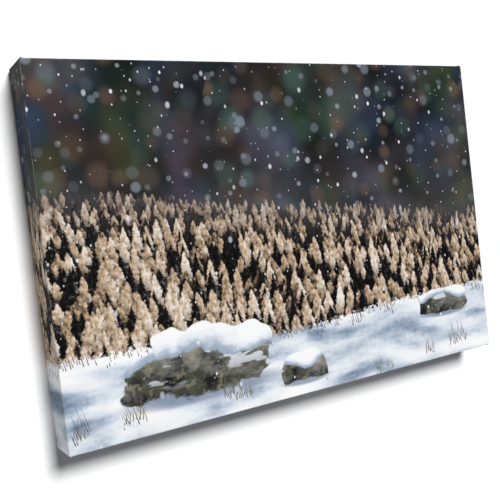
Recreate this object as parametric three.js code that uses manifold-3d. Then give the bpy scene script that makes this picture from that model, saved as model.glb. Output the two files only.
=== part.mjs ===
// A gallery-wrapped canvas print: printed cotton stretched over a keyed pine frame, stapled behind,
// with a sawtooth hanger. Millimetres. +X is right and +Z up as the picture is looked at, and +Y points
// at the wall. The origin is where the wall hook carries the hanger's middle notch, on the wall's face.

import * as THREE from "three";
import { mergeVertices } from "three/addons/utils/BufferGeometryUtils.js";
import Module from "manifold-3d";

// Driving dimensions
const WIDTH = 500; // outside, cloth on
const HEIGHT = 325;
const DEPTH = 38; // printed face to the back of the cloth's flap
const CLOTH = 0.6; // primed cotton
const FLAP = 18; // cloth turned over on the back
const BAR_WIDTH = 34; // stretcher bar as seen from behind
const STANDOFF = 2.4; // back of the flap to the wall
const HOOK_DROP = 29; // top of the picture to the hook point
const FIT = 0.3; // gap between pieces that touch

// Cloth details
const EDGE_RADIUS = 1.6; // where the cloth turns over the frame
const CORNER_RADIUS = 1.2; // the upright corners
const ARC_STEPS = 4;
const FOLD_LIFT = 0.9; // two tucked layers under the cloth at each corner
const FOLD_INSET = 0.8; // the fold's edge, in from the corner
const FOLD_SUNK = 0.3; // how far a fold's plate is rooted in the cloth

// Stretcher bar section
const LIP_WIDTH = 3; // the only part that the cloth touches in front
const LIP_ROUND = 1.2;
const LIP_STEP = 0.8; // down from the lip, at 45 degrees
const BEVEL_DROP = 5; // how far the front face falls away to the inner edge
const INNER_CHAMFER = 1.5;
const OUTER_CHAMFER = 0.6;
const MITRE_TRIM = 0.22; // each end, so that the mitre faces are FIT apart

// Corner wedges and their slots
const WEDGE = { length: 31, tip: 5, heel: 12, thick: 3, inside: 9, flat: 2 };
const WEDGE_DEPTHS = { along_x: 9, along_z: 17 }; // from the bars' back face to the wedge's middle
const SLOT = { past_joint: 12, mouth: 1, room: 3 }; // room is left beside the wedge's tip

// Staples
const STAPLE = { crown: 10, wire: 0.9, thick: 0.6, leg: 7, shoulder: 0.5 };
const STAPLES_ACROSS = 7;
const STAPLES_UP = 4;
const STAPLE_INSET = 9.5; // from the outer edge
const STAPLE_END = 64; // first staple from the corner, clear of the fold
const STAPLE_SKEW = 0.16; // most that one is out of line, in radians
const SKEW_STEP = 7.3; // radians from one staple to the next in the wave that sets the skew
const CORNER_STAPLE = { from_upright: 23, from_level: 8.5 };

// Sawtooth hanger and its nails
const HANGER = { length: 44, height: 10, thick: 0.8, pad: 8, joggle: 3, lift: 1.5 };
const TEETH = 9;
const TOOTH_DEPTH = 1.8;
const TOOTH_TIP = 0.6; // width of the flat that is left between two notches
const NAIL = { head: 2.2, crown: 1.3, edge: 0.2, head_thick: 0.7, shank: 0.7, point: 1.5, length: 9 };
const NAIL_RISE = 1; // above the middle of the strip
const CUT_PAST = 1; // how far a cutting shape runs past the faces that it cuts

// Wall bumpers
const BUMPER_RADIUS = 6;
const BUMPER_ROUND = 0.8;
const BUMPER_INSET = 26.5;
const ROUND_SIDES = 20;

// Planes that everything is placed from
const TOP = HOOK_DROP;
const BOTTOM = TOP - HEIGHT;
const MIDDLE = (TOP + BOTTOM) / 2;
const FRONT = -(STANDOFF + DEPTH); // printed face
const FLAP_BACK = -STANDOFF;
const BAR_INSET = CLOTH + FIT; // outer edge of the cloth to the bars
const BAR_FRONT = FRONT + CLOTH + FIT;
const BAR_BACK = FLAP_BACK - CLOTH - FIT;
const BAR_DEPTH = BAR_BACK - BAR_FRONT;
const FRAME_WIDTH = WIDTH - 2 * BAR_INSET;
const FRAME_HEIGHT = HEIGHT - 2 * BAR_INSET;
const WINDOW_X = FRAME_WIDTH / 2 - BAR_WIDTH; // half the opening between the bars
const WINDOW_Z = FRAME_HEIGHT / 2 - BAR_WIDTH;

const wasm = await Module();
wasm.setup();

const material = (color, roughness, metalness = 0) =>
  new THREE.MeshStandardMaterial({ color, roughness, metalness });
const MATERIALS = {
  print: material(0x6f6658, 0.75),
  pine: material(0xdcb987, 0.65),
  wedge: material(0xc9a26b, 0.6),
  steel: material(0xb4b6b8, 0.35, 1),
  brass: material(0xb08d4a, 0.35, 1),
  felt: material(0x55524e, 0.95),
};

// A closed three.js geometry as a manifold-3d solid, and back.
function solid(geometry) {
  const bare = geometry.index ? geometry.toNonIndexed() : geometry.clone();
  for (const name of Object.keys(bare.attributes))
    if (name !== "position") bare.deleteAttribute(name);
  const merged = mergeVertices(bare, 1e-4);
  return new wasm.Manifold(
    new wasm.Mesh({
      numProp: 3,
      vertProperties: merged.attributes.position.array,
      triVerts: new Uint32Array(merged.index.array),
    }),
  );
}

function geometryOf(manifold) {
  const mesh = manifold.getMesh();
  return new THREE.BufferGeometry()
    .setAttribute("position", new THREE.BufferAttribute(mesh.vertProperties, 3))
    .setIndex(new THREE.BufferAttribute(mesh.triVerts, 1));
}

// The largest closed body of a union or cut.
const whole = (manifold) =>
  manifold.decompose().reduce((a, b) => (a.volume() > b.volume() ? a : b));

// A prism of an outline [[u, v], ...], from 0 to height along its own third axis.
function prism(outline, height) {
  const shape = new THREE.Shape(outline.map(([u, v]) => new THREE.Vector2(u, v)));
  return new THREE.ExtrudeGeometry(shape, { depth: height, bevelEnabled: false });
}

// A prism in the picture's plane: an outline [[x, z], ...] from y0 to y1.
function facePrism(outline, y0, y1) {
  const turned = prism(
    outline.map(([x, z]) => [x, -z]),
    y1 - y0,
  );
  return turned.rotateX(-Math.PI / 2).translate(0, y0, 0);
}

const box = (x0, x1, y0, y1, z0, z1) =>
  new THREE.BoxGeometry(x1 - x0, y1 - y0, z1 - z0).translate(
    (x0 + x1) / 2,
    (y0 + y1) / 2,
    (z0 + z1) / 2,
  );

// The x, z outline of the picture, inset from its edges, with rounded corners.
function pictureOutline(inset, radius) {
  const halfX = WIDTH / 2 - inset - radius;
  const halfZ = HEIGHT / 2 - inset - radius;
  const points = [];
  for (let corner = 0; corner < 4; corner++) {
    const [sx, sz] = [[1, -1, -1, 1][corner], [1, 1, -1, -1][corner]];
    for (let i = 0; i <= ARC_STEPS; i++) {
      const angle = ((corner + i / ARC_STEPS) * Math.PI) / 2;
      points.push([
        sx * halfX + radius * Math.cos(angle),
        MIDDLE + sz * halfZ + radius * Math.sin(angle),
      ]);
    }
  }
  return points;
}

// A closed solid through outlines that are alike in number, each at its own depth.
function loft(rings) {
  const count = rings[0].points.length;
  const positions = [];
  const push = (ring, i) => positions.push(ring.points[i][0], ring.y, ring.points[i][1]);
  for (let r = 0; r + 1 < rings.length; r++)
    for (let i = 0; i < count; i++) {
      const j = (i + 1) % count;
      const [a, b] = [rings[r], rings[r + 1]];
      for (const [ring, k] of [[a, i], [a, j], [b, j], [a, i], [b, j], [b, i]]) push(ring, k);
    }
  for (const [ring, flip] of [[rings[0], true], [rings[rings.length - 1], false]])
    for (let i = 1; i + 1 < count; i++)
      for (const k of flip ? [0, i + 1, i] : [0, i, i + 1]) push(ring, k);
  return new THREE.BufferGeometry().setAttribute(
    "position",
    new THREE.Float32BufferAttribute(positions, 3),
  );
}

// The wrapped box of the picture, taken in by a skin, with its front and back edges rounded.
function wrappedBox(skin) {
  const radius = EDGE_RADIUS - skin;
  const corner = CORNER_RADIUS - skin;
  const rings = [];
  const ring = (inset, y) =>
    rings.push({ y, points: pictureOutline(skin + inset, corner) });
  for (let i = 0; i <= ARC_STEPS; i++) {
    const angle = ((i / ARC_STEPS) * Math.PI) / 2;
    ring(radius * (1 - Math.sin(angle)), FRONT + skin + radius * (1 - Math.cos(angle)));
  }
  for (let i = 0; i <= ARC_STEPS; i++) {
    const angle = ((i / ARC_STEPS) * Math.PI) / 2;
    ring(radius * (1 - Math.cos(angle)), FLAP_BACK - skin - radius * (1 - Math.sin(angle)));
  }
  const body = solid(loft(rings));
  return body.volume() < 0 ? solid(loft(rings.reverse())) : body;
}

// The four corners as signs, with names.
const CORNERS = [
  { name: "top_left", sx: -1, sz: 1 },
  { name: "top_right", sx: 1, sz: 1 },
  { name: "bottom_left", sx: -1, sz: -1 },
  { name: "bottom_right", sx: 1, sz: -1 },
];

// Corner coordinates: a is in from the upright outer edge, b in from the top or bottom edge.
const atCorner = ({ sx, sz }, a, b) => [sx * (WIDTH / 2 - a), MIDDLE + sz * (HEIGHT / 2 - b)];

// Tucked cloth at a corner. On the top or bottom side it is a triangle below a slant fold from the
// front corner. It goes on over the back edge, as a slanted band that ends with the flap.
function cornerFold(corner) {
  const { sx, sz } = corner;
  const x = (a) => sx * (WIDTH / 2 - a);
  const reach = DEPTH - EDGE_RADIUS; // along the back edge
  const past = 2 * FOLD_LIFT; // clear of the fold's outer face
  const frontY = FRONT + EDGE_RADIUS;
  const edgeZ = MIDDLE + sz * (HEIGHT / 2);
  const [low, high] = [edgeZ - sz * EDGE_RADIUS, edgeZ + sz * past].sort((p, q) => p - q);
  const besides = prism(
    [
      [x(FOLD_INSET), frontY],
      [x(FOLD_INSET), FLAP_BACK + past],
      [x(reach), FLAP_BACK + past],
      [x(reach), FLAP_BACK],
    ],
    high - low,
  ).translate(0, 0, low);
  const end = FLAP - FOLD_INSET;
  const behind = facePrism(
    [
      atCorner(corner, FOLD_INSET, -past),
      atCorner(corner, reach, -past),
      atCorner(corner, reach, 0),
      atCorner(corner, reach + end, end),
      atCorner(corner, end, end),
      atCorner(corner, FOLD_INSET, FOLD_INSET),
    ],
    FLAP_BACK - EDGE_RADIUS,
    FLAP_BACK + past,
  );
  const layer = wrappedBox(-FOLD_LIFT).subtract(wrappedBox(FOLD_SUNK));
  return outwards(besides).add(outwards(behind)).intersect(layer);
}

// Mirrored outlines come out inside out, so a solid's faces are turned where they need it.
function outwards(geometry) {
  const made = solid(geometry);
  if (made.volume() > 0) return made;
  const bare = geometry.index ? geometry.toNonIndexed() : geometry.clone();
  const p = bare.attributes.position;
  for (let i = 0; i < p.count; i += 3) {
    const keep = [p.getX(i), p.getY(i), p.getZ(i)];
    p.setXYZ(i, p.getX(i + 1), p.getY(i + 1), p.getZ(i + 1));
    p.setXYZ(i + 1, ...keep);
  }
  return solid(bare);
}

// Where each staple sits: its middle, the way its crown runs, and the surface that it lies on.
function staplePlaces() {
  const places = [];
  let count = 0;
  const skew = () => STAPLE_SKEW * Math.sin(SKEW_STEP * ++count);
  const spread = (n, length) =>
    Array.from(
      { length: n },
      (_, i) => -length / 2 + STAPLE_END + (i * (length - 2 * STAPLE_END)) / (n - 1),
    );
  for (const [name, sz] of [["top", 1], ["bottom", -1]])
    spread(STAPLES_ACROSS, WIDTH).forEach((x, i) =>
      places.push({
        name: `staple_${name}_${i + 1}`,
        x,
        z: MIDDLE + sz * (HEIGHT / 2 - STAPLE_INSET),
        turn: skew(),
        surface: FLAP_BACK,
      }),
    );
  for (const [name, sx] of [["left", -1], ["right", 1]])
    spread(STAPLES_UP, HEIGHT).forEach((z, i) =>
      places.push({
        name: `staple_${name}_${i + 1}`,
        x: sx * (WIDTH / 2 - STAPLE_INSET),
        z: MIDDLE + z,
        turn: Math.PI / 2 + skew(),
        surface: FLAP_BACK,
      }),
    );
  for (const corner of CORNERS) {
    const { from_upright, from_level } = CORNER_STAPLE;
    const [x, z] = atCorner(corner, from_upright, from_level);
    places.push({
      name: `staple_${corner.name}`,
      x,
      z,
      turn: skew(),
      surface: FLAP_BACK + FOLD_LIFT,
    });
  }
  return places;
}

// Puts a shape drawn with its crown along X and the wall towards +Y at a staple's place.
const atStaple = (geometry, place, y) =>
  geometry.rotateY(-place.turn).translate(place.x, y, place.z);

function stapleGeometry(place) {
  const { crown, wire, thick, leg, shoulder } = STAPLE;
  const half = crown / 2;
  const outline = [
    [-half, -leg],
    [-half, -shoulder],
    [-half + shoulder, 0],
    [half - shoulder, 0],
    [half, -shoulder],
    [half, -leg],
    [half - thick, -leg],
    [half - thick, -thick],
    [-half + thick, -thick],
    [-half + thick, -leg],
  ];
  const bent = prism(outline, wire).translate(0, 0, -wire / 2);
  return atStaple(bent, place, place.surface + FIT + thick);
}

// The room that a staple's legs take in the cloth and the wood.
function stapleHoles(place) {
  const { crown, wire, thick, leg } = STAPLE;
  const start = place.surface + FIT + thick;
  return [-1, 1].map((side) => {
    const middle = side * (crown / 2 - thick / 2);
    const hole = box(
      middle - thick / 2 - FIT,
      middle + thick / 2 + FIT,
      -leg - FIT,
      0,
      -wire / 2 - FIT,
      wire / 2 + FIT,
    );
    return solid(atStaple(hole, place, start));
  });
}

const places = staplePlaces();
const legHoles = wasm.Manifold.union(places.flatMap(stapleHoles));

function canvasGeometry() {
  const opening = facePrism(
    pictureOutline(FLAP, CORNER_RADIUS),
    FLAP_BACK - 2 * EDGE_RADIUS,
    FLAP_BACK + EDGE_RADIUS,
  );
  const shell = wrappedBox(0).subtract(wrappedBox(CLOTH)).subtract(outwards(opening));
  const folded = wasm.Manifold.union([shell, ...CORNERS.map(cornerFold)]);
  return geometryOf(whole(folded.subtract(legHoles)));
}

// A bar's section: across is in from the outer edge, and deep is back from the lip.
function barSection() {
  const points = [];
  for (let i = 0; i <= ARC_STEPS; i++) {
    const angle = ((i / ARC_STEPS) * Math.PI) / 2;
    points.push([LIP_ROUND * (1 - Math.cos(angle)), LIP_ROUND * (1 - Math.sin(angle))]);
  }
  return [
    ...points,
    [LIP_WIDTH, 0],
    [LIP_WIDTH + LIP_STEP, LIP_STEP],
    [BAR_WIDTH, BEVEL_DROP],
    [BAR_WIDTH, BAR_DEPTH - INNER_CHAMFER],
    [BAR_WIDTH - INNER_CHAMFER, BAR_DEPTH],
    [OUTER_CHAMFER, BAR_DEPTH],
    [0, BAR_DEPTH - OUTER_CHAMFER],
  ];
}

// A mitred bar of an outside length, lying along X below the origin's outer edge.
function mitredBar(length) {
  const bar = prism(barSection(), 1);
  const p = bar.attributes.position;
  for (let i = 0; i < p.count; i++) {
    const [across, deep, end] = [p.getX(i), p.getY(i), p.getZ(i)];
    const half = length / 2 - across - MITRE_TRIM;
    p.setXYZ(i, (2 * end - 1) * half, BAR_FRONT + deep, -across);
  }
  return bar;
}

// Each bar: its outer edge's middle and how it is turned from the top bar.
const BARS = [
  { name: "bar_top", length: FRAME_WIDTH, turn: 0, x: 0, z: TOP - BAR_INSET },
  { name: "bar_bottom", length: FRAME_WIDTH, turn: Math.PI, x: 0, z: BOTTOM + BAR_INSET },
  { name: "bar_left", length: FRAME_HEIGHT, turn: -Math.PI / 2, x: -FRAME_WIDTH / 2, z: MIDDLE },
  { name: "bar_right", length: FRAME_HEIGHT, turn: Math.PI / 2, x: FRAME_WIDTH / 2, z: MIDDLE },
];

// A wedge at a corner of the window, lying along one bar with its tip in the other's slot.
function wedgePlan(corner, along) {
  const { sx, sz } = corner;
  const half = WEDGE.thick / 2;
  const middle = BAR_BACK - WEDGE_DEPTHS[along];
  // p runs from the corner into the window along the bar, and q away from that bar.
  const place = (p, q) =>
    along === "along_x"
      ? [sx * (WINDOW_X - p), MIDDLE + sz * (WINDOW_Z - q)]
      : [sx * (WINDOW_X - q), MIDDLE + sz * (WINDOW_Z - p)];
  const far = WEDGE.length - WEDGE.inside;
  return {
    wedge: facePrism(
      [
        place(-WEDGE.inside, FIT),
        place(far, FIT),
        place(far, FIT + WEDGE.heel),
        place(far - WEDGE.flat, FIT + WEDGE.heel),
        place(-WEDGE.inside, FIT + WEDGE.tip),
      ],
      middle - half,
      middle + half,
    ),
    slot: facePrism(
      [
        place(-WEDGE.inside - FIT, -SLOT.past_joint),
        place(SLOT.mouth, -SLOT.past_joint),
        place(SLOT.mouth, WEDGE.tip + SLOT.room),
        place(-WEDGE.inside - FIT, WEDGE.tip + SLOT.room),
      ],
      middle - half - FIT,
      middle + half + FIT,
    ),
    slottedBar:
      along === "along_x"
        ? sx < 0
          ? "bar_left"
          : "bar_right"
        : sz > 0
          ? "bar_top"
          : "bar_bottom",
    name: `wedge_${corner.name}_${along}`,
  };
}

const wedges = CORNERS.flatMap((corner) =>
  ["along_x", "along_z"].map((along) => wedgePlan(corner, along)),
);

// The hanger stands on the top bar's bare wood, its middle notch at the hook point.
const HANGER_BOTTOM = -TOOTH_DEPTH;
const HANGER_TOP = HANGER_BOTTOM + HANGER.height;
const NAIL_X = HANGER.length / 2 - HANGER.pad / 2;
const NAIL_Z = (HANGER_BOTTOM + HANGER_TOP) / 2 + NAIL_RISE;

// A round piece turned about the way to the wall, from a profile of [radius, y].
const turned = (profile) =>
  new THREE.LatheGeometry(
    profile.map(([r, y]) => new THREE.Vector2(r, y)),
    ROUND_SIDES,
  );

function hangerGeometry() {
  const { length, thick, pad, joggle, lift } = HANGER;
  const foot = BAR_BACK + FIT;
  const path = [
    [-length / 2, 0],
    [-length / 2 + pad, 0],
    [-length / 2 + pad + joggle, lift],
    [length / 2 - pad - joggle, lift],
    [length / 2 - pad, 0],
    [length / 2, 0],
  ];
  const outline = [
    ...path.map(([x, y]) => [x, foot + y]),
    ...path.reverse().map(([x, y]) => [x, foot + y + thick]),
  ];
  const strip = outwards(prism(outline, HANGER.height).translate(0, 0, HANGER_BOTTOM));
  const span = length - 2 * (pad + joggle);
  const pitch = span / TEETH;
  const half = (pitch - TOOTH_TIP) / 2;
  const notches = Array.from({ length: TEETH }, (_, i) => {
    const x = -span / 2 + (i + 0.5) * pitch;
    return outwards(
      facePrism(
        [
          [x - half, HANGER_BOTTOM - CUT_PAST],
          [x - half, HANGER_BOTTOM],
          [x, HANGER_BOTTOM + TOOTH_DEPTH],
          [x + half, HANGER_BOTTOM],
          [x + half, HANGER_BOTTOM - CUT_PAST],
        ],
        foot - CUT_PAST,
        foot + lift + thick + CUT_PAST,
      ),
    );
  });
  const holes = [-1, 1].map((side) =>
    outwards(
      turned([
        [0, foot - CUT_PAST],
        [NAIL.shank + FIT, foot - CUT_PAST],
        [NAIL.shank + FIT, foot + thick + CUT_PAST],
        [0, foot + thick + CUT_PAST],
      ]).translate(side * NAIL_X, 0, NAIL_Z),
    ),
  );
  return geometryOf(whole(strip.subtract(wasm.Manifold.union([...notches, ...holes]))));
}

// A nail with its head on the hanger, or the hole that it stands in, which is wider by a gap.
function nail(side, gap) {
  const under = BAR_BACK + FIT + HANGER.thick + FIT;
  const shank = NAIL.shank + gap;
  const tip = under - NAIL.length - gap;
  const profile = gap
    ? [[0, tip], [shank, tip], [shank, under], [0, under]]
    : [
        [0, tip],
        [shank, tip + NAIL.point],
        [shank, under],
        [NAIL.head, under],
        [NAIL.head, under + NAIL.edge],
        [NAIL.crown, under + NAIL.head_thick],
        [0, under + NAIL.head_thick],
      ];
  return turned(profile).translate(side * NAIL_X, 0, NAIL_Z);
}

function barGeometry({ name, length, turn, x, z }) {
  const cuts = [
    legHoles,
    ...wedges.filter((w) => w.slottedBar === name).map((w) => outwards(w.slot)),
    ...[-1, 1].map((side) => outwards(nail(side, FIT))),
  ];
  const bar = outwards(mitredBar(length).rotateY(turn).translate(x, 0, z));
  return geometryOf(whole(bar.subtract(wasm.Manifold.union(cuts))));
}

function bumperGeometry(corner) {
  const start = BAR_BACK + FIT;
  const [x, z] = atCorner(corner, BUMPER_INSET, BUMPER_INSET);
  return turned([
    [0, start],
    [BUMPER_RADIUS, start],
    [BUMPER_RADIUS, -BUMPER_ROUND],
    [BUMPER_RADIUS - BUMPER_ROUND, 0],
    [0, 0],
  ]).translate(x, 0, z);
}

const canvasPrint = new THREE.Group();

function add(name, geometry, look) {
  const mesh = new THREE.Mesh(geometry, look);
  mesh.name = name;
  canvasPrint.add(mesh);
}

add("canvas", canvasGeometry(), MATERIALS.print);
for (const bar of BARS) add(bar.name, barGeometry(bar), MATERIALS.pine);
for (const { name, wedge } of wedges) add(name, geometryOf(outwards(wedge)), MATERIALS.wedge);
for (const place of places) add(place.name, stapleGeometry(place), MATERIALS.steel);
add("hanger", hangerGeometry(), MATERIALS.brass);
add("nail_left", geometryOf(outwards(nail(-1, 0))), MATERIALS.steel);
add("nail_right", geometryOf(outwards(nail(1, 0))), MATERIALS.steel);
for (const corner of CORNERS)
  add(`bumper_${corner.name}`, geometryOf(outwards(bumperGeometry(corner))), MATERIALS.felt);

export default canvasPrint;
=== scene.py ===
"""Looks for the stretched canvas print: cloth, printed landscape, pine frame and hardware."""

import math
import random

import bmesh
import bpy
import numpy as np
from mathutils import Matrix, Vector


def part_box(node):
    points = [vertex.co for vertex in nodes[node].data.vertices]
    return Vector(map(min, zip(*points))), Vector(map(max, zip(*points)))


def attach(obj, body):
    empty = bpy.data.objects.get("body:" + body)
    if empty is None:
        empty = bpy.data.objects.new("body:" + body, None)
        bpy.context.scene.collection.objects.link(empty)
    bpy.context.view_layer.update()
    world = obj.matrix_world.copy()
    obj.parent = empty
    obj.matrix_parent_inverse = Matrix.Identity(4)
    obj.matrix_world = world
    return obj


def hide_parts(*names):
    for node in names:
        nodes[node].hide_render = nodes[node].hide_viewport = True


MM = 0.001

# Sizes that the frame file doesn't give, as in the part's source
FOLD_LIFT = 0.9 * MM  # the corner folds stand proud of the cloth by this
FOLD_INSET = 0.8 * MM  # and start this far in from the side's edge
FOLD_REACH = 36.4 * MM  # a fold's width where it turns over the back edge
FLAP = 18 * MM  # cloth turned over on the back
CLOTH = 0.6 * MM
STAPLE_END = 64 * MM  # from the frame's corner to its first staple
STAPLES_ACROSS = 7
STAPLES_UP = 4

# The cloth's make, wear and slack
THREAD = 1.15 * MM  # from one thread of the weave to the next
EDGE_LINE = 1.3 * MM  # a line of the cage this near an edge keeps the edge's round small
SLACK = 0.55 * MM  # the flaps stand off the bars by this midway between two staples
CUT_WAVE = 0.9 * MM  # and their cut edge runs out this much there
MAP_GAP = 0.012  # between the two skins on their flat map, as a share of its width
THREAD_ENDS = 340  # loose ends along the flaps' cut edge
THREAD_ENDS_SEED = 11
THREAD_END_ROOT = 0.8 * MM  # each starts this far under the cloth
THREAD_END_THICK = 0.14 * MM  # from its middle to its three corners

# The print: its sizes are in picture heights, apart from the bleed
BLEED = 8 * MM  # ink goes on this far past the back edge
TREE_ROWS = 24
TREE_OVERLAP = 5  # a tree stands in front of this many rows at most
TREE_WIDTH_FAR = 0.019
TREE_WIDTH_NEAR = 0.050
SLOPE_TOP = 0.60  # the wood's first row
SLOPE_FOOT = 0.19  # and its last
SLOPE_CURVE = 1.3  # above 1 the rows crowd together far off

# Far woods out of focus: colour, where its noise is taken, patches a height, how much shows
WOOD_TINTS = (
    ("10333a", 4.1, 4.3, 0.85),
    ("1d3a22", 7.7, 5.1, 0.75),
    ("4a4c22", 2.3, 6.2, 0.50),
    ("4d2f26", 9.6, 6.6, 0.50),
    ("303a52", 5.9, 4.7, 0.75),
    ("54505a", 1.2, 3.4, 0.55),
)

# Leaves and snow out of focus: cells a height, radius, share of cells, colour, strength, softness
SOFT_DISCS = (
    (8.3, 0.058, 0.75, "4a655a", 0.60, 0.7),
    (9.7, 0.050, 0.70, "75604f", 0.50, 0.7),
    (7, 0.040, 0.45, "8793a3", 0.32, 0.7),
    (12, 0.023, 0.45, "a2adbb", 0.45, 0.5),
    (17, 0.012, 0.45, "b9c4d0", 0.65, 0.5),
)

# Boulders: middle, half width and height, and seed
BOULDERS = (
    ((0.40, 0.150), (0.235, 0.115), 1.7),
    ((0.735, 0.075), (0.085, 0.055), 4.4),
    ((1.335, 0.185), (0.105, 0.055), 8.3),
)

# Falling snow in focus: shift of the cells, cells a height, radius, share of cells, strength
FLAKES = (
    (0.0, 9, 0.0075, 0.28, 0.75),
    (0.0, 15, 0.0050, 0.36, 1.0),
    (0.7, 27, 0.0028, 0.30, 0.9),
    (1.1, 38, 0.0022, 0.16, 0.7),
)

# The bars' grain runs along these axes
GRAIN = {"bar_top": "x", "bar_bottom": "x", "bar_left": "z", "bar_right": "z"}

# Wall and floor, in metres
WALL_BEHIND = 0.5 * MM
WALL_HALF = 4.0
WALL_TOP = 3.0
FLOOR_LEVEL = -1.35
FLOOR_HALF = 9.0

# Light: a key, a softbox that lights the back, and the sky
KEY_POWER = 3.7
KEY_SPREAD = 19  # degrees
KEY_WAY = Vector((-0.15, 1, -0.61))  # from the upper right, towards the wall
SOFTBOX_PLACE = (1.1, 1.9, 0.9)
SOFTBOX_SIZE = 1.6
SOFTBOX_POWER = 30
SKY_LIGHT = 0.11  # dim, so that the shadow stays deep
SKY_SEEN = 0.92  # but pale where the camera sees it

# Camera, fitted to the print's six corners that the photograph shows: millimetres and degrees
CAMERA_PLACE = Vector((-395.2, -616.0, -124.7)) * MM
CAMERA_TURN = 30.34  # from +Y towards +X
CAMERA_RISE = -2.04
CAMERA_ROLL = -6.65
CAMERA_LENS = 50.92
CAMERA_SENSOR = 36  # wide, and the lens goes with it

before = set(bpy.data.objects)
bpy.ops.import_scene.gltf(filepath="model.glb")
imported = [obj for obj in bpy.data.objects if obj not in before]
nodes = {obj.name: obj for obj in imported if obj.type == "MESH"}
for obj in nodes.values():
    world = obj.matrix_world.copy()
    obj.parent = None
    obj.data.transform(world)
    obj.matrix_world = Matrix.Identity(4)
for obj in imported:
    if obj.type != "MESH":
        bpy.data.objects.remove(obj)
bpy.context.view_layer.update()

canvas_low, canvas_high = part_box("canvas")
LEFT = canvas_low.x
RIGHT = canvas_high.x
BOTTOM = canvas_low.z + FOLD_LIFT
TOP = canvas_high.z - FOLD_LIFT
FRONT = canvas_low.y
BACK = canvas_high.y - FOLD_LIFT
WIDTH = RIGHT - LEFT
HEIGHT = TOP - BOTTOM
DEPTH = BACK - FRONT
MIDDLE = (TOP + BOTTOM) / 2
WRAP = DEPTH + FLAP  # cloth past each edge of the printed face
WRAP_ROOM = WRAP + 5 * MM  # numbers over the cloth run this far past the face

# A material's settings and the shader's own names for them
SETTINGS = {
    "colour": "Base Color",
    "roughness": "Roughness",
    "metallic": "Metallic",
    "shine": "Specular IOR Level",
    "sheen": "Sheen Weight",
}


def rgb(code):
    """A web colour as linear red, green, blue and alpha."""
    parts = [int(code[i : i + 2], 16) / 255 for i in (0, 2, 4)]
    return (*[((c + 0.055) / 1.055) ** 2.4 if c > 0.04 else c / 12.92 for c in parts], 1)


class Field:
    """A number, colour or point that varies over a surface: one output of a material's nodes."""

    def __init__(self, tree, socket):
        self.tree = tree
        self.socket = socket

    def math(self, operation, *others):
        """Arithmetic on this number and others."""
        node = self.tree.nodes.new("ShaderNodeMath")
        node.operation = operation
        for place, value in zip(node.inputs, (self, *others)):
            plug(value, place)
        return Field(self.tree, node.outputs[0])

    def __add__(self, other):
        return self.math("ADD", other)

    def __sub__(self, other):
        return self.math("SUBTRACT", other)

    def __rsub__(self, other):
        return (self * -1).math("ADD", other)

    def __mul__(self, other):
        return self.math("MULTIPLY", other)

    def __truediv__(self, other):
        return self.math("DIVIDE", other)

    def __pow__(self, other):
        return self.math("POWER", other)

    def __abs__(self):
        return self.math("ABSOLUTE")

    def floor(self):
        return self.math("FLOOR")

    def part(self):
        return self.math("FRACT")

    def sine(self):
        return self.math("SINE")

    def below(self, other):
        return self.math("LESS_THAN", other)

    def larger(self, other):
        return self.math("MAXIMUM", other)

    def step(self, start, end):
        """0 before start and 1 past end, smooth between them. start may be the larger."""
        node = self.tree.nodes.new("ShaderNodeMapRange")
        node.interpolation_type = "SMOOTHSTEP"
        for name, value in (("Value", self), ("From Min", start), ("From Max", end)):
            plug(value, node.inputs[name])
        return Field(self.tree, node.outputs[0])

    def between(self, low, high):
        """0 to 1 stretched to run from low to high."""
        return self * (high - low) + low

    def parts(self, kind="XYZ"):
        """The three numbers of a point, or of a colour."""
        node = self.tree.nodes.new("ShaderNodeSeparate" + kind)
        plug(self, node.inputs[0])
        return [Field(self.tree, out) for out in node.outputs]

    def shades(self):
        """The three numbers of a colour."""
        return self.parts("Color")

    def ramp(self, *stops):
        """A colour picked by this number from stops of (place, web colour)."""
        node = self.tree.nodes.new("ShaderNodeValToRGB")
        points = node.color_ramp.elements
        while len(points) < len(stops):
            points.new(0.5)
        for point, (place, code) in zip(points, stops):
            point.position = place
            point.color = rgb(code)
        plug(self, node.inputs[0])
        return Field(self.tree, node.outputs[0])


def plug(value, place):
    """Links a field to a socket, or sets the socket to a plain value."""
    if isinstance(value, Field):
        value.tree.links.new(value.socket, place)
    else:
        place.default_value = value


def point(x, y, z):
    """A point from three numbers."""
    node = x.tree.nodes.new("ShaderNodeCombineXYZ")
    for value, place in zip((x, y, z), node.inputs):
        plug(value, place)
    return Field(x.tree, node.outputs[0])


def moved(at, shift=(0, 0, 0), stretch=(1, 1, 1), turn=0):
    """A point stretched, then turned about Z, then shifted."""
    node = at.tree.nodes.new("ShaderNodeMapping")
    plug(at, node.inputs["Vector"])
    node.inputs["Location"].default_value = shift
    node.inputs["Rotation"].default_value = (0, 0, turn)
    node.inputs["Scale"].default_value = stretch
    return Field(at.tree, node.outputs[0])


def across(at, turn, low, high):
    """A point's X after a turn about Z, as a number from low to high."""
    span = high - low
    scaled = moved(at, (-low / span, 0, 0), (1 / span, 1 / span, 1), turn)
    node = at.tree.nodes.new("ShaderNodeTexGradient")
    plug(scaled, node.inputs["Vector"])
    return Field(at.tree, node.outputs[1]) * span + low


def noise(at, scale, detail=2.0, rough=0.5, dimensions="3D"):
    """Smooth noise from 0 to 1, about 0.5 in the middle, at a point or, in 1D, at a number."""
    node = at.tree.nodes.new("ShaderNodeTexNoise")
    node.noise_dimensions = dimensions
    node.inputs["Scale"].default_value = scale
    node.inputs["Detail"].default_value = detail
    node.inputs["Roughness"].default_value = rough
    plug(at, node.inputs["W" if dimensions == "1D" else "Vector"])
    return Field(at.tree, node.outputs[0])


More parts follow.
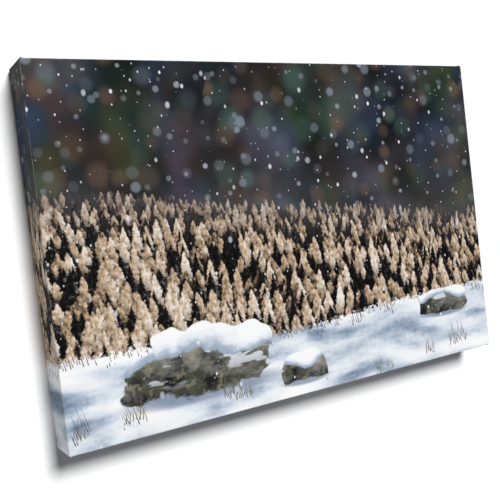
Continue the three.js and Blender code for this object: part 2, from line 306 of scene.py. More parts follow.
def cells(at, scale):
    """Scattered points: the distance to the nearest, and three random numbers of its own."""
    node = at.tree.nodes.new("ShaderNodeTexVoronoi")
    node.voronoi_dimensions = "2D"
    node.inputs["Scale"].default_value = scale
    plug(at, node.inputs["Vector"])
    far = Field(at.tree, node.outputs["Distance"])
    return far, Field(at.tree, node.outputs["Color"]).shades()


def chance(number):
    """Three random numbers for each value of a number."""
    node = number.tree.nodes.new("ShaderNodeTexWhiteNoise")
    node.noise_dimensions = "1D"
    plug(number, node.inputs["W"])
    return Field(number.tree, node.outputs["Color"]).shades()


def mixed(first, second, share):
    """Two colours mixed: share 0 gives the first, and 1 the second."""
    tree = next(value.tree for value in (share, first, second) if isinstance(value, Field))
    node = tree.nodes.new("ShaderNodeMix")
    node.data_type = "RGBA"
    for value, place in ((share, 0), (first, 6), (second, 7)):
        plug(rgb(value) if isinstance(value, str) else value, node.inputs[place])
    return Field(tree, node.outputs[2])


def mixed_number(first, second, share):
    """Two numbers mixed."""
    return first + (second - first) * share


def tinted(colour, strength):
    """A colour made lighter or darker by a number about 1."""
    made = mixed("000000", colour, strength)
    made.socket.node.clamp_factor = False
    return made


class Spot:
    """A place on something flat: as a point, and as numbers across and up."""

    def __init__(self, at, u, v):
        self.at = at
        self.u = u
        self.v = v

    def near(self, stretch=(1, 1), shift=(0, 0), seed=0.0, turn=0.0):
        """The point drawn out, turned and shifted, at a depth of the noise given by the seed."""
        return moved(self.at, (*shift, seed), (*stretch, 1), turn)


class Finish:
    """A material: its tree, its shader, and where on the surface a point is."""

    def __init__(self, name):
        self.material = bpy.data.materials.new(name)
        self.material.use_nodes = True
        self.tree = self.material.node_tree
        self.shader = self.tree.nodes["Principled BSDF"]

    def sheet(self):
        """A spot on the flat cloth in metres, from the printed face's lower left corner."""
        node = self.tree.nodes.new("ShaderNodeUVMap")
        node.uv_map = "sheet"
        at = Field(self.tree, node.outputs[0])
        u = across(at, 0, -WRAP_ROOM, WIDTH + WRAP_ROOM)
        v = across(at, -math.pi / 2, -WRAP_ROOM, HEIGHT + WRAP_ROOM)
        return Spot(at, u, v)

    def place(self):
        """A point in metres, in the model's own frame."""
        node = self.tree.nodes.new("ShaderNodeTexCoord")
        return Field(self.tree, node.outputs["Object"])

    def set(self, **values):
        """Sets the shader's colour, roughness and so on, each to a field or a plain value."""
        for name, value in values.items():
            plug(value, self.shader.inputs[SETTINGS[name]])

    def bump(self, height, depth):
        """Relief from a field that runs from 0 to 1, depth metres high."""
        node = self.tree.nodes.new("ShaderNodeBump")
        node.inputs["Distance"].default_value = depth
        plug(height, node.inputs["Height"])
        self.tree.links.new(node.outputs[0], self.shader.inputs["Normal"])


def backdrop(spot):
    """Far woods out of focus: near black, with patches of teal, green, olive, rust, plum and dusk."""
    murk = noise(spot.near((1, 0.8), seed=3.4), 2.0, 2.0)
    colour = murk.ramp((0.30, "010305"), (0.70, "23292b"))
    for tint, seed, scale, strength in WOOD_TINTS:
        patch = noise(spot.near((1, 0.9), seed=seed), scale, 1.5)
        colour = mixed(colour, tint, patch.step(0.46, 0.74) * strength)
    gloom = noise(spot.near((1, 0.8), seed=12.4), 4.6, 2.0).step(0.32, 0.66)
    colour = tinted(colour, gloom.between(0.35, 1.55))
    haze = spot.v.step(0.86, 0.50) * noise(spot.near(seed=6.6), 1.7, 1.0).step(0.3, 0.7)
    return mixed(colour, "6c6664", haze * 0.32)


def soft_discs(colour, spot, scale, size, share, tint, strength, soft):
    """Discs of about one size, most of them faint."""
    far, (pick, shade, third) = cells(spot.near(shift=(scale, 0)), scale)
    radius = third.between(0.6, 1.0) * size * scale
    disc = far.step(radius, radius * (1 - soft)) * pick.below(share)
    return mixed(colour, tint, disc * (shade * shade).between(0.2, 1.0) * strength)


def tree_row(colour, spot, row, swell, ragged):
    """The trees of one row: pale larches with near black spruces among them."""
    depth = row / TREE_ROWS  # 0 at the back and 1 in front
    ground = swell + SLOPE_TOP - depth ** SLOPE_CURVE * (SLOPE_TOP - SLOPE_FOOT)
    pitch = depth.between(TREE_WIDTH_FAR, TREE_WIDTH_NEAR)
    along = spot.u / pitch + row * 0.377
    tree = along.floor()
    pick, size, kind = chance(tree + row * 31.7)
    side = along.part() - 0.5 - (pick - 0.5) * 0.2
    up = (spot.v - ground) / (pitch * (size * size).between(1.0, 2.2))
    grove = noise(tree * pitch * 6.5 + row * 0.33, 1.0, 1.0, dimensions="1D").between(0.5, -0.5)
    dark = (kind + grove).below(0.40)
    point_up = (1 - up).larger(0.0)
    tiers = (up * 5 + pick * 5 + ragged).part().between(0.62, 0.36)
    half = mixed_number(point_up ** 0.75 * 0.54, point_up * tiers, dark) * ragged.between(0.3, 1.7)
    inside = abs(side).step(half + 0.05, half - 0.05) * up.step(-0.12, 0.02) * up.step(1.0, 0.97)
    shine = size * 0.30 + kind * 0.30 + grove * 0.45 + ragged * 0.85 + side * 0.34 - 0.24
    larch = shine.ramp(
        (0.14, "2a2421"),
        (0.34, "6f5e4d"),
        (0.50, "b2987b"),
        (0.66, "d3bca2"),
        (0.90, "f3ece4"),
    )
    spruce = (ragged + side * 0.6).ramp((0.35, "070708"), (0.66, "191818"), (0.86, "6a6a6a"))
    crown = mixed(larch, spruce, dark)
    crown = tinted(crown, up.step(-0.10, 0.55).between(0.38, 1.0))
    crown = mixed(crown, "5a5558", depth.step(0.45, 0.0) * 0.55)
    return mixed(colour, crown, inside)


def slope(colour, spot):
    """The wooded slope. At each spot only the few rows that reach it are drawn, back to front."""
    ragged = noise(spot.near((1, 0.75)), 95, 2.0, 0.6, "2D")
    u = spot.u
    swell = (u * 3.1 + 0.8).sine() * 0.035 + (u * 6.7 + 1.0).sine() * 0.012 - u * 0.055
    drop = (swell + SLOPE_TOP - spot.v) / (SLOPE_TOP - SLOPE_FOOT)
    shade = ragged.ramp((0.3, "0c0b0a"), (0.7, "352e27"))
    colour = mixed(colour, shade, drop.step(-0.02, 0.04))
    behind = (drop.larger(0.0) ** (1 / SLOPE_CURVE) * TREE_ROWS).floor()
    for ahead in range(1, TREE_OVERLAP + 1):
        colour = tree_row(colour, spot, behind + ahead, swell, ragged)
    return colour


def snow_line(u):
    """Where the snow field meets the wood."""
    return (u * 2.6 + 2.4).sine() * 0.028 + (u * 7.3).sine() * 0.010 + 0.215 + u * 0.02


def snow_field(colour, spot):
    """Wind-shaped snow: white, with blue-grey in the hollows."""
    drift = noise(spot.near((1, 3.2), seed=6.0), 3.1, 3.0, 0.45)
    lit = noise(spot.near((1, 3.2), (0.035, 0.10), 6.0), 3.1, 3.0, 0.45)
    grain = noise(spot.near((1, 1.6)), 60, 2.0, 0.6, "2D")
    slant = (drift - lit) * 2.6 + 0.55 + (grain - 0.5) * 0.22
    snow = slant.ramp(
        (0.08, "76879c"),
        (0.30, "a8b7c9"),
        (0.50, "d5dee9"),
        (0.72, "f1f5f9"),
        (1.0, "ffffff"),
    )
    edge = snow_line(spot.u) + (grain - 0.5) * 0.05
    return mixed(colour, snow, spot.v.step(edge + 0.006, edge - 0.006))


def grass(colour, spot, shift, foot, pitch, tall, share, tint, slant=0.18):
    """Dry stalks that stand out of the snow in clumps."""
    u = spot.u + shift
    rise = spot.v - foot
    along = (u + rise * slant) / pitch
    pick, size, lean = chance(along.floor() + 7.9)
    clump = noise(u * 9 + shift * 31, 1.0, 1.0, dimensions="1D").step(1 - share, 1.14 - share)
    height = (size * size).between(0.2, 1.0) * tall * clump
    up = (rise + (pick - 0.5) * tall * 0.35) / height.larger(0.0005)
    side = abs(along.part() - 0.5 - (lean - 0.5) * up * 0.5 - (pick - 0.5) * 0.4)
    width = (1 - up).larger(0.0) * 0.20
    blade = side.step(width + 0.08, width) * up.step(-0.05, 0.05) * up.step(1.0, 0.9)
    blade = blade * clump.step(0.1, 0.3)
    return mixed(colour, tint, blade * pick.between(0.55, 1.0))


def boulder(colour, spot, middle, size, seed):
    """A lichened rock with a cap of snow, lit from the upper right."""
    x = (spot.u - middle[0]) / size[0]
    y = (spot.v - middle[1]) / size[1]
    rough = noise(spot.near(seed=seed), 7, 2.0, 0.5) - 0.5
    fine = noise(spot.near((1, 1.4), seed=seed + 5), 40, 4.0, 0.7) - 0.5
    lumps = noise(spot.near(seed=seed + 3), 15, 1.0) - 0.5
    squared = (abs(x) ** 2.5 + abs(y) ** 2.5) ** (1 / 2.5)
    away = squared + rough * 0.9 + lumps * 0.35 + fine * 0.08
    body = away.step(1.0, 0.97)
    planes, (tone, _, _) = cells(spot.near((1, 1.7), turn=0.4), 17)
    light = y * 0.24 + x * 0.10 + 0.42 + (tone - 0.5) * 0.22 + fine * 0.90 + lumps * 0.9
    light = light + planes.step(0.75, 0.5) * 0.08
    stone = light.ramp(
        (0.15, "1d1e1d"),
        (0.38, "4b4c4a"),
        (0.60, "7c7a74"),
        (0.80, "9f998e"),
        (1.0, "c9c3b6"),
    )
    moss = noise(spot.near(seed=seed + 9), 13, 3.0, 0.6).step(0.50, 0.60)
    stone = mixed(stone, "5c6149", moss * 0.40)
    lichen = noise(spot.near(seed=seed + 12), 26, 3.0, 0.6).step(0.56, 0.62)
    stone = mixed(stone, "a39a80", lichen * 0.4)
    ledge = noise(spot.near((1, 3.4), seed=seed + 2), 11, 2.0).step(0.60, 0.66)
    stone = mixed(stone, "dfe6ee", ledge * y.step(-0.5, 0.1) * 0.85)
    capped = y - (x * 3.3 + seed).sine() * 0.16 - 0.36 - rough * 1.1 - fine * 0.35
    snow = capped.step(0.02, 0.45).ramp((0.0, "9fb0c4"), (0.45, "e3eaf2"), (1.0, "fdfeff"))
    stone = mixed(stone, snow, capped.step(-0.04, 0.03))
    buried = fine * 0.3 + lumps * 0.6 + (x * 4.1 + seed).sine() * 0.06
    foot = (y + buried).step(-0.68, -0.58)
    below = x * x * 0.85 + (y + 0.58) * (y + 0.58) * 13
    shadow = mixed(colour, "7787a0", below.step(1.3, 0.3) * 0.8)
    return mixed(shadow, stone, body * foot)


def flakes(colour, spot, shift, scale, size, share, strength):
    """Falling snow in focus: small, bright and a little drawn out."""
    far, (pick, shade, third) = cells(spot.near((1, 0.75), (scale + shift, 0), turn=0.2), scale)
    radius = third.between(0.35, 1.0) * size * scale
    disc = far.step(radius * 1.2, radius * 0.6) * pick.below(share)
    return mixed(colour, "f4f8fc", disc * shade.between(0.45, 1.0) * strength)


def landscape(spot):
    """The printed picture. The spot is in picture heights, from the lower left corner."""
    colour = backdrop(spot)
    for discs in SOFT_DISCS:
        colour = soft_discs(colour, spot, *discs)
    colour = slope(colour, spot)
    colour = snow_field(colour, spot)
    edge = snow_line(spot.u)
    colour = grass(colour, spot, 0.0, edge - 0.01, 0.0065, 0.075, 0.56, "6e5c44")
    colour = grass(colour, spot, 0.4, edge - 0.03, 0.008, 0.06, 0.50, "2a2622")
    for middle, size, seed in BOULDERS:
        colour = boulder(colour, spot, middle, size, seed)
    foot = (spot.u * 5).sine() * 0.02 + 0.035
    colour = grass(colour, spot, 1.7, foot, 0.0095, 0.075, 0.47, "8a7658", -0.16)
    colour = grass(colour, spot, 1.7, foot, 0.0062, 0.095, 0.47, "4a3d30", 0.26)
    for fall in FLAKES:
        colour = flakes(colour, spot, *fall)
    return colour


def weave(spot):
    """Plain weave from 0 to 1, with slubs: threads that lie over and under in turn."""
    slub = noise(spot.near((0.25, 1), seed=0.4), 240, 1.0) * 0.9
    slub_up = noise(spot.near((1, 0.25), seed=3.4), 240, 1.0) * 0.9
    warp = ((spot.u / THREAD + slub_up) * math.pi).sine()
    weft = ((spot.v / THREAD + slub) * math.pi).sine()
    over = warp * weft
    return over * over.math("SIGN") * 0.6 + noise(spot.near(seed=1.0), 900, 1.0) * 0.4


def print_finish():
    """Ink on primed cotton: the picture, its bleed on the flaps, wear along the folds, and painted
    shade in the weave's hollows.
    """
    finish = Finish("print")
    spot = finish.sheet()
    in_heights = (1 / HEIGHT, 1 / HEIGHT)
    colour = landscape(Spot(spot.near(in_heights), spot.u / HEIGHT, spot.v / HEIGHT))
    past_x = (spot.u * -1).larger(spot.u - WIDTH)
    past_z = (spot.v * -1).larger(spot.v - HEIGHT)
    past = past_x.larger(past_z)
    wander = noise(spot.near(seed=7.0), 90, 3.0)
    thread = weave(spot)
    worn = abs(past).step(0.9 * MM, 0.2 * MM) * (wander + thread * 0.3).step(0.55, 0.72)
    worn_back = abs(past - DEPTH).step(1.2 * MM, 0.2 * MM) * (wander + thread * 0.3).step(0.5, 0.7)
    colour = mixed(colour, "b9b4a8", worn.larger(worn_back) * 0.35)
    bleed = (wander - 0.5) * 2 * MM + (DEPTH + BLEED)
    colour = mixed(colour, "e9e6dc", past.step(bleed, bleed + 0.5 * MM))
    # Painted shade: the print is darker in the weave's hollows between threads, where the bump sinks.
    colour = tinted(colour, thread.between(0.82, 0.96))
    finish.set(colour=colour, roughness=wander.between(0.55, 0.75), shine=0.06)
    finish.bump(thread, 0.16 * MM)
    return finish.material


def cotton_finish():
    """The cloth's unprinted reverse: cream cotton with flecks of seed husk, painted shade in the
    weave's hollows and a faint painted highlight on the thread crowns.
    """
    finish = Finish("cotton")
    spot = finish.sheet()
    thread = weave(spot)
    cloud = noise(spot.near(seed=2.0), 14, 3.0)
    colour = cloud.ramp((0.3, "cfc3a6"), (0.7, "e6dcc4"))
    far, (pick, _, _) = cells(spot.at, 260)
    fleck = far.step(0.16, 0.06) * pick.below(0.08)
    colour = mixed(colour, "7d6440", fleck * 0.7)
    # Painted shade and highlight: the cotton is darker in the weave's hollows between threads and a
    # little lighter on their crowns.
    finish.set(colour=tinted(colour, thread.between(0.84, 1.06)), roughness=0.92, shine=0.2)
    finish.bump(thread, 0.20 * MM)
    return finish.material


def cotton_thread_finish():
    """Loose cotton thread, paler and darker from end to end."""
    finish = Finish("cotton_thread")
    cloud = noise(finish.place(), 900, 2.0)
    finish.set(colour=cloud.ramp((0.3, "cfc5ab"), (0.7, "f0eadb")), roughness=0.95, shine=0.1)
    return finish.material


class Cage:
    """Quads on a lattice, with the flat cloth's coordinates on each face's corners."""

    def __init__(self):
        self.places = {}
        self.verts = []
        self.faces = []
        self.flat = []

    def vertex(self, place):
        """The number of the vertex at a place, made once."""
        key = tuple(round(c * 1e6) for c in place)
        if key not in self.places:
            self.places[key] = len(self.verts)
            self.verts.append(place)
        return self.places[key]

    def face(self, places, flat):
        """One quad, from its corners' places and their places on the flat cloth."""
        self.faces.append([self.vertex(p) for p in places])
        self.flat.extend(flat)

    def grid(self, first, second, spot, flat):
        """Quads over two lists of lines. spot and flat give a crossing's place and flat place."""
        for a0, a1 in zip(first, first[1:]):
            for b0, b1 in zip(second, second[1:]):
                ring = [(a0, b0), (a1, b0), (a1, b1), (a0, b1)]
                self.face([spot(a, b) for a, b in ring], [flat(a, b) for a, b in ring])

    def mesh(self, name, outward=True):
        """The quads as a mesh, turned to face out where outward is set."""
        made = bpy.data.meshes.new(name)
        made.from_pydata(self.verts, [], self.faces)
        layer = made.uv_layers.new(name="sheet")
        layer.data.foreach_set("uv", np.array(self.flat, np.float32).ravel())
        if outward:
            facing_out(made)
        return made


def facing_out(mesh):
    """Turns a mesh's faces so that they agree, outwards."""
    work = bmesh.new()
    work.from_mesh(mesh)
    bmesh.ops.recalc_face_normals(work, faces=work.faces)
    work.to_mesh(mesh)
    work.free()


def slack(along, length, staples):
    """How loose a flap is: 0 at each staple, and from 0.5 to 1 midway between two."""
    gap = (length - 2 * STAPLE_END) / (staples - 1)
    turns = (along - STAPLE_END) / gap
    if not 0 < turns < staples - 1:
        return 0
    return (0.5 - 0.5 * math.cos(2 * math.pi * turns)) * (0.75 + 0.25 * math.sin(turns // 1 * 2.3))


def stapled_lines(length, staples):
    """Distances along an edge: at its ends, at every staple, and midway between two."""
    near = [0, EDGE_LINE, FLAP * 0.35, FLAP * 0.7, FLAP, STAPLE_END * 0.6]
    held = np.linspace(STAPLE_END, length - STAPLE_END, 4 * (staples - 1) + 1)
    return [*near, *held, *[length - n for n in reversed(near)]]


def cloth_cage():
    """The cloth's outer face, wrapped round the frame and turned over behind it."""
    cage = Cage()
    xs = [LEFT + n for n in stapled_lines(WIDTH, STAPLES_ACROSS)]
    zs = [BOTTOM + n for n in stapled_lines(HEIGHT, STAPLES_UP)]
    ys = [FRONT, FRONT + EDGE_LINE, *np.linspace(FRONT, BACK, 6)[1:-1], BACK - EDGE_LINE, BACK]
    cage.grid(xs, zs, lambda x, z: (x, FRONT, z), lambda x, z: (x - LEFT, z - BOTTOM))
    for edge, out in ((LEFT, -1), (RIGHT, 1)):
        start = 0 if out < 0 else WIDTH
        cage.grid(
            ys,
            zs,
            lambda y, z: (edge, y, z),
            lambda y, z: (start + out * (y - FRONT), z - BOTTOM),
        )
    for edge, out in ((BOTTOM, -1), (TOP, 1)):
        start = 0 if out < 0 else HEIGHT
        cage.grid(
            ys,
            xs,
            lambda y, x: (x, y, edge),
            lambda y, x: (x - LEFT, start + out * (y - FRONT)),
        )
    add_flaps(cage, xs, zs)
    return cage.mesh("canvas_cloth")


def inward(x, z):
    """How far a spot on the back is in from the nearer side, and from the top or bottom."""
    return min(x - LEFT, RIGHT - x), min(z - BOTTOM, TOP - z)


def flap_spot(x, z):
    """Where a flap's cloth lies: slack between its staples, with a wavy cut edge."""
    a, b = inward(x, z)
    upright = a < b
    share = min(a, b) / FLAP
    if upright:
        loose = slack(z - BOTTOM, HEIGHT, STAPLES_UP)
        wave = math.copysign(CUT_WAVE * loose, x) if share > 0.99 else 0
        return x + wave, BACK + SLACK * loose * share, z
    loose = slack(x - LEFT, WIDTH, STAPLES_ACROSS)
    wave = math.copysign(CUT_WAVE * loose, z - MIDDLE) if share > 0.99 else 0
    return x, BACK + SLACK * loose * share, z + wave


def flap_flat(x, z, upright):
    """A flap's place on the flat cloth."""
    a, b = inward(x, z)
    if upright:
        return (-DEPTH - a if x < 0 else WIDTH + DEPTH + a), z - BOTTOM
    return x - LEFT, (-DEPTH - b if z < MIDDLE else HEIGHT + DEPTH + b)


def add_flaps(cage, xs, zs):
    """The four flaps behind, which meet in mitres at the corners."""
    for x0, x1 in zip(xs, xs[1:]):
        for z0, z1 in zip(zs, zs[1:]):
            a, b = inward((x0 + x1) / 2, (z0 + z1) / 2)
            if min(a, b) > FLAP:
                continue
            ring = [(x0, z0), (x0, z1), (x1, z1), (x1, z0)]
            flat = [flap_flat(x, z, a < b) for x, z in ring]
            cage.face([flap_spot(x, z) for x, z in ring], flat)


def fold_spot(row, column, side, end):
    """A place on a fold, and on the flat cloth. side is -1 on the left, and end -1 below."""
    down, over = row  # from the front edge, and in over the back
    share, height = column  # of the fold's width there, and of its lift
    start = max(FOLD_INSET, over)
    reach = FOLD_INSET + (FOLD_REACH - FOLD_INSET) * down / DEPTH + over
    inset = start + (reach - start) * share
    lift = FOLD_LIFT * height
    y = FRONT + down + (lift if down == DEPTH else 0)
    z = (TOP if end > 0 else BOTTOM) + end * (lift - over)
    flat_x = -down - over if side < 0 else WIDTH + down + over
    flat_z = -inset if end < 0 else HEIGHT + inset
    return (side * (WIDTH / 2 - inset), y, z), (flat_x, flat_z)


def fold_cage():
    """The corners' folded layers: a triangle down each side's end, and a slant over its flap."""
    cage = Cage()
    columns = [(0, 0.3), (0.05, 0.85), (0.5, 1), (0.95, 0.9), (1, 0.25)]
    downs = [1.5 * MM, 5 * MM, *np.linspace(10 * MM, DEPTH - EDGE_LINE, 4), DEPTH]
    overs = [EDGE_LINE, FLAP * 0.3, FLAP * 0.6, FLAP - 2 * FOLD_INSET, FLAP - FOLD_INSET]
    rows = [(down, 0) for down in downs] + [(DEPTH, over) for over in overs]
    for side, end in ((-1, -1), (-1, 1), (1, -1), (1, 1)):
        for r0, r1 in zip(rows, rows[1:]):
            for c0, c1 in zip(columns, columns[1:]):
                ring = [(r0, c0), (r1, c0), (r1, c1), (r0, c1)]
                spots = [fold_spot(row, column, side, end) for row, column in ring]
                if side != end:
                    spots.reverse()
                cage.face([place for place, _ in spots], [flat for _, flat in spots])
    return cage.mesh("canvas_folds", outward=False)


def thread_ends():
    """Loose ends of thread along the flaps' cut edge, each a thin bent whisker."""
    dice = random.Random(THREAD_ENDS_SEED)
    verts = []
    faces = []
    for _ in range(THREAD_ENDS):
        wide = dice.random() < WIDTH / (WIDTH + HEIGHT)
        half, other = (WIDTH / 2, HEIGHT / 2) if wide else (HEIGHT / 2, WIDTH / 2)
        along = dice.uniform(-1, 1) * (half - FLAP - 3 * MM)
        sign = dice.choice((-1, 1))
        reach = dice.uniform(1.2, 5) * MM
        bend = dice.uniform(-1.6, 1.6) * MM
        rise = dice.uniform(-0.1, 0.35) * MM
        base = len(verts)
        for step in range(4):
            share = step / 3
            a = along + bend * share * share
            b = sign * (other - FLAP + THREAD_END_ROOT - (reach + THREAD_END_ROOT) * share)
            y = BACK - CLOTH / 2 + rise * share * share
            size = THREAD_END_THICK * (1 - 0.6 * share)
            for corner in range(3):
                angle = corner * 2 * math.pi / 3
                shift = size * math.cos(angle)
                x, z = (a + shift, b) if wide else (b, a + shift)
                verts.append((x, y + size * math.sin(angle), z + MIDDLE))
        for step in range(3):
            for corner in range(3):
                now = base + step * 3 + corner
                then = base + step * 3 + (corner + 1) % 3
                faces.append((now, then, then + 3, now + 3))
        faces += [(base, base + 1, base + 2), (base + 9, base + 10, base + 11)]
    mesh = bpy.data.meshes.new("thread_ends")
    mesh.from_pydata(verts, [], faces)
    facing_out(mesh)
    return mesh


def as_object(data, name, *materials):
    """A mesh, light or camera put in the scene."""
    made = bpy.data.objects.new(name, data)
    bpy.context.scene.collection.objects.link(made)
    for material in materials:
        made.data.materials.append(material)
    return made


def settled(made):
    """The object's mesh with its modifiers applied."""
    graph = bpy.context.evaluated_depsgraph_get()
    mesh = bpy.data.meshes.new_from_object(made.evaluated_get(graph))
    made.modifiers.clear()
    made.data = mesh
    return made


def as_cloth(mesh, name, printed, cotton, rim):
    """A cage made smooth and given its thickness, printed outside and cotton inside."""
    made = as_object(mesh, name, printed, cotton)
    smooth = made.modifiers.new("smooth", "SUBSURF")
    smooth.levels = 2
    smooth.render_levels = 2
    thick = made.modifiers.new("thick", "SOLIDIFY")
    thick.thickness = CLOTH
    thick.offset = -1
    thick.material_offset = 1
    thick.material_offset_rim = rim
    settled(made)
    made.data.shade_smooth()
    return made


def lay_out(mesh):
    """The cloth's flat map: the outer skin as it was cut, and the inner one squeezed in above."""
    count = len(mesh.loops)
    flat = np.empty(count * 2, np.float32)
    mesh.uv_layers["sheet"].data.foreach_get("uv", flat)
    flat = (flat.reshape(-1, 2) + WRAP) / (WIDTH + 2 * WRAP)
    inside = np.empty(len(mesh.polygons), np.int32)
    mesh.polygons.foreach_get("material_index", inside)
    corners = np.empty(len(mesh.polygons), np.int32)
    mesh.polygons.foreach_get("loop_total", corners)
    tall = (HEIGHT + 2 * WRAP) / (WIDTH + 2 * WRAP)
    squeezed = tall + MAP_GAP + flat[:, 1] / tall * (1 - tall - MAP_GAP)
    flat[:, 1] = np.where(np.repeat(inside, corners) == 1, squeezed, flat[:, 1])
    layer = mesh.uv_layers.new(name="OFBake")
    layer.data.foreach_set("uv", flat.ravel())


def build_canvas(printed, cotton):
    """The wrapped cloth with its corner folds as one piece, and the loose thread ends."""
    cloth = as_cloth(cloth_cage(), "canvas_cloth", printed, cotton, 1)
    folds = as_cloth(fold_cage(), "canvas_folds", printed, cotton, 0)
    with bpy.context.temp_override(active_object=cloth, selected_editable_objects=[cloth, folds]):
        bpy.ops.object.join()
    lay_out(cloth.data)
    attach(cloth, "root")
    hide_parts("canvas")
    frayed = as_object(thread_ends(), "thread_ends", cotton_thread_finish())
    frayed.data.shade_smooth()
    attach(frayed, "root")
    return cloth


def pine_finish(name, axis, seed):
    """Planed pine with its grain along one axis, in finger-jointed lengths."""
    finish = Finish(name)
    x, y, z = finish.place().parts()
    along, sideways = (x, z) if axis == "x" else (z, x)
    board = (along / 0.19 + seed * 0.37).floor()
    pick, shift, tone = chance(board + seed * 13.1)
    heart = point(sideways + shift * 0.3, y + pick * 0.2, along * 0.045 + shift * 5)
    bend = noise(heart, 9, 2.0, 0.5)
    from_heart = sideways * 1.2 + y * (pick + 0.6) + bend * 0.05 + shift
    rings = (from_heart * 330).sine() * 0.5 + 0.5
    fibre = noise(point(sideways * 60, y * 60, along * 1.4), 14, 3.0, 0.6)
    fade = noise(point(sideways, y, along * 0.3 + shift), 40, 1.0).between(0.15, 0.95)
    late = rings ** 2.5 * fade + (fibre - 0.5) * 0.5
    colour = late.ramp((0.0, "ecd3a4"), (0.4, "dfbd85"), (0.8, "bf8d51"), (1.0, "a06f3a"))
    colour = tinted(colour, tone.between(0.86, 1.05))
    pores = noise(point(sideways * 300, y * 300, along * 12), 6, 1.0).step(0.68, 0.74)
    colour = mixed(colour, "6f4a26", pores * 0.35)
    finish.set(colour=colour, roughness=fibre.between(0.5, 0.78), shine=0.3)
    finish.bump(late * 0.6 + fibre * 0.4, 0.12 * MM)
    return finish.material


def wedge_finish():
    """Sawn hardwood, its fibres in thin layers through the wedge's thickness."""
    finish = Finish("wedge")
    x, y, z = finish.place().parts()
    fibre = noise(point(x * 2.2, y * 9, z * 2.2), 90, 3.0, 0.6)
    colour = fibre.ramp((0.3, "8f6535"), (0.5, "b98a52"), (0.75, "d6ad78"))
    finish.set(colour=colour, roughness=0.7, shine=0.25)
    finish.bump(fibre, 0.2 * MM)
    return finish.material


def metal_finish(name, dark, light, seed):
    """Plated wire or strip, with dull patches and fine scratches."""
    finish = Finish(name)
    at = finish.place()
    x, y, z = at.parts()
    patch = noise(at, 160, 3.0, 0.6)
    scratch = noise(point(x * 3 + seed, y * 3, z * 40), 60, 2.0)
    colour = (patch * 0.7 + scratch * 0.3).ramp((0.35, dark), (0.62, light))
    finish.set(colour=colour, metallic=1.0, roughness=(patch + scratch * 0.5).between(0.12, 0.42))
    finish.bump(patch * 0.5 + scratch * 0.5, 0.03 * MM)
    return finish.material


def felt_finish():
    """Dark grey felt, with paler fibres and a soft sheen."""
    finish = Finish("felt")
    at = finish.place()
    fuzz = noise(at, 1500, 2.0, 0.7)
    cloud = noise(at, 200, 2.0)
    colour = (fuzz * 0.6 + cloud * 0.4).ramp((0.3, "1d1c1b"), (0.5, "34322f"), (0.75, "57534d"))
    finish.set(colour=colour, roughness=0.97, sheen=0.3, shine=0.1)
    finish.bump(fuzz, 0.35 * MM)
    return finish.material


def dress(name, material, bevel):
    """A CAD node in its own finish, with its edges eased."""
    node = nodes[name]
    node.data.materials.clear()
    node.data.materials.append(material)
    eased = node.modifiers.new("eased", "BEVEL")
    eased.width = bevel
    eased.segments = 2
    eased.limit_method = "ANGLE"
    eased.angle_limit = math.radians(35)
    eased.harden_normals = True
    node.data.shade_smooth()


def dress_frame():
    """Finishes for the bars, wedges, staples, nails, hanger and bumpers."""
    for seed, (name, axis) in enumerate(GRAIN.items(), 1):
        dress(name, pine_finish("pine_" + name, axis, seed), 0.35 * MM)
    wedge = wedge_finish()
    steel = metal_finish("steel", "8f9294", "dcdedf", 1)
    brass = metal_finish("brass", "b08a45", "efd394", 2)
    felt = felt_finish()
    for name in nodes:
        if name.startswith("wedge"):
            dress(name, wedge, 0.3 * MM)
        elif name.startswith(("staple", "nail")):
            dress(name, steel, 0.12 * MM)
        elif name == "hanger":
            dress(name, brass, 0.15 * MM)
        elif name.startswith("bumper"):
            dress(name, felt, 0.5 * MM)


def wall_finish():
    """White wall that shows from the front only, so that the print's back can be looked at."""
    finish = Finish("wall")
    finish.set(colour=rgb("f9f9f9"), roughness=0.9, shine=0.1)
    geometry = finish.tree.nodes.new("ShaderNodeNewGeometry")
    clear = finish.tree.nodes.new("ShaderNodeBsdfTransparent")
    either = finish.tree.nodes.new("ShaderNodeMixShader")
    links = finish.tree.links
    links.new(geometry.outputs["Backfacing"], either.inputs[0])
    links.new(finish.shader.outputs[0], either.inputs[1])
    links.new(clear.outputs[0], either.inputs[2])
    links.new(either.outputs[0], finish.tree.nodes["Material Output"].inputs["Surface"])
    return finish.material


def quad(name, corners, material):
    """One flat face with four corners."""
    mesh = bpy.data.meshes.new(name)
    mesh.from_pydata(corners, [], [(0, 1, 2, 3)])
    return as_object(mesh, name, material)


def build_stage():
    """A white wall just behind the print, and a pale floor a good way below it."""
    foot = [(-WALL_HALF, WALL_BEHIND, FLOOR_LEVEL), (WALL_HALF, WALL_BEHIND, FLOOR_LEVEL)]
    head = [(WALL_HALF, WALL_BEHIND, WALL_TOP), (-WALL_HALF, WALL_BEHIND, WALL_TOP)]
    wall = quad("wall", foot + head, wall_finish())
    wall.visible_shadow = False
    finish = Finish("floor")
    finish.set(colour=rgb("e9e9e8"), roughness=0.85)
    ring = ((-1, -1), (1, -1), (1, 1), (-1, 1))
    corners = [(x * FLOOR_HALF, y * FLOOR_HALF, FLOOR_LEVEL) for x, y in ring]
    floor = quad("floor", corners, finish.material)
    floor.visible_diffuse = False  # so that it throws no light up at the print
    floor.visible_glossy = False


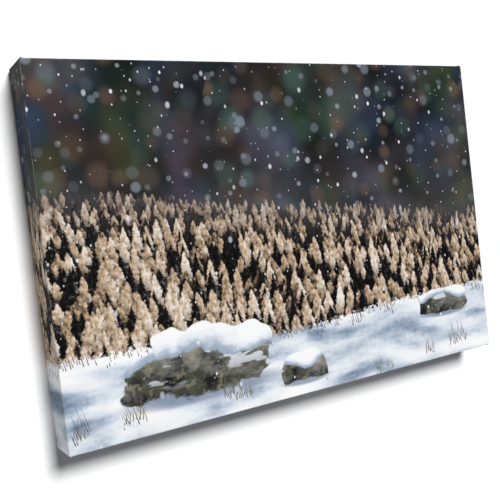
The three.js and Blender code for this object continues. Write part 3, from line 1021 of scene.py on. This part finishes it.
def build_world():
    """An even sky: dim as light, and pale as the camera sees it."""
    world = bpy.data.worlds.new("studio")
    world.use_nodes = True
    tree = world.node_tree
    dim = tree.nodes["Background"]
    pale = tree.nodes.new("ShaderNodeBackground")
    seen = tree.nodes.new("ShaderNodeLightPath")
    either = tree.nodes.new("ShaderNodeMixShader")
    for background, strength in ((dim, SKY_LIGHT), (pale, SKY_SEEN)):
        background.inputs["Color"].default_value = rgb("f6f7f8")
        background.inputs["Strength"].default_value = strength
    tree.links.new(seen.outputs["Is Camera Ray"], either.inputs[0])
    tree.links.new(dim.outputs[0], either.inputs[1])
    tree.links.new(pale.outputs[0], either.inputs[2])
    tree.links.new(either.outputs[0], tree.nodes["World Output"].inputs["Surface"])
    bpy.context.scene.world = world


def build_key():
    """A broad key from the upper right: its slant and width give the wall shadow its ramps."""
    data = bpy.data.lights.new("key", "SUN")
    data.energy = KEY_POWER
    data.angle = math.radians(KEY_SPREAD)
    key = as_object(data, "key")
    key.rotation_euler = KEY_WAY.to_track_quat("-Z", "Y").to_euler()


def build_back_light():
    """A softbox behind the wall's plane, which lights the frame and hardware."""
    data = bpy.data.lights.new("back", "AREA")
    data.shape = "RECTANGLE"
    data.energy = SOFTBOX_POWER
    data.size = SOFTBOX_SIZE
    data.size_y = SOFTBOX_SIZE
    made = as_object(data, "back")
    made.location = SOFTBOX_PLACE
    towards = Vector((0, FRONT, MIDDLE)) - made.location
    made.rotation_euler = towards.to_track_quat("-Z", "Y").to_euler()


def build_camera():
    """The photograph's viewpoint: to the left of the print, below its middle, and rolled."""
    data = bpy.data.cameras.new("camera")
    data.lens = CAMERA_LENS
    data.sensor_width = CAMERA_SENSOR
    data.clip_start = 0.01
    data.clip_end = 50
    made = as_object(data, "camera")
    turn = Matrix.Rotation(math.radians(-CAMERA_TURN), 4, "Z")
    rise = Matrix.Rotation(math.radians(90 + CAMERA_RISE), 4, "X")
    roll = Matrix.Rotation(math.radians(CAMERA_ROLL), 4, "Z")
    made.matrix_world = Matrix.Translation(CAMERA_PLACE) @ turn @ rise @ roll
    bpy.context.scene.camera = made


build_camera()
build_stage()
build_key()
build_back_light()
build_world()
printed = print_finish()
cotton = cotton_finish()
canvas = build_canvas(printed, cotton)
dress_frame()
bpy.context.scene.view_settings.view_transform = "Standard"
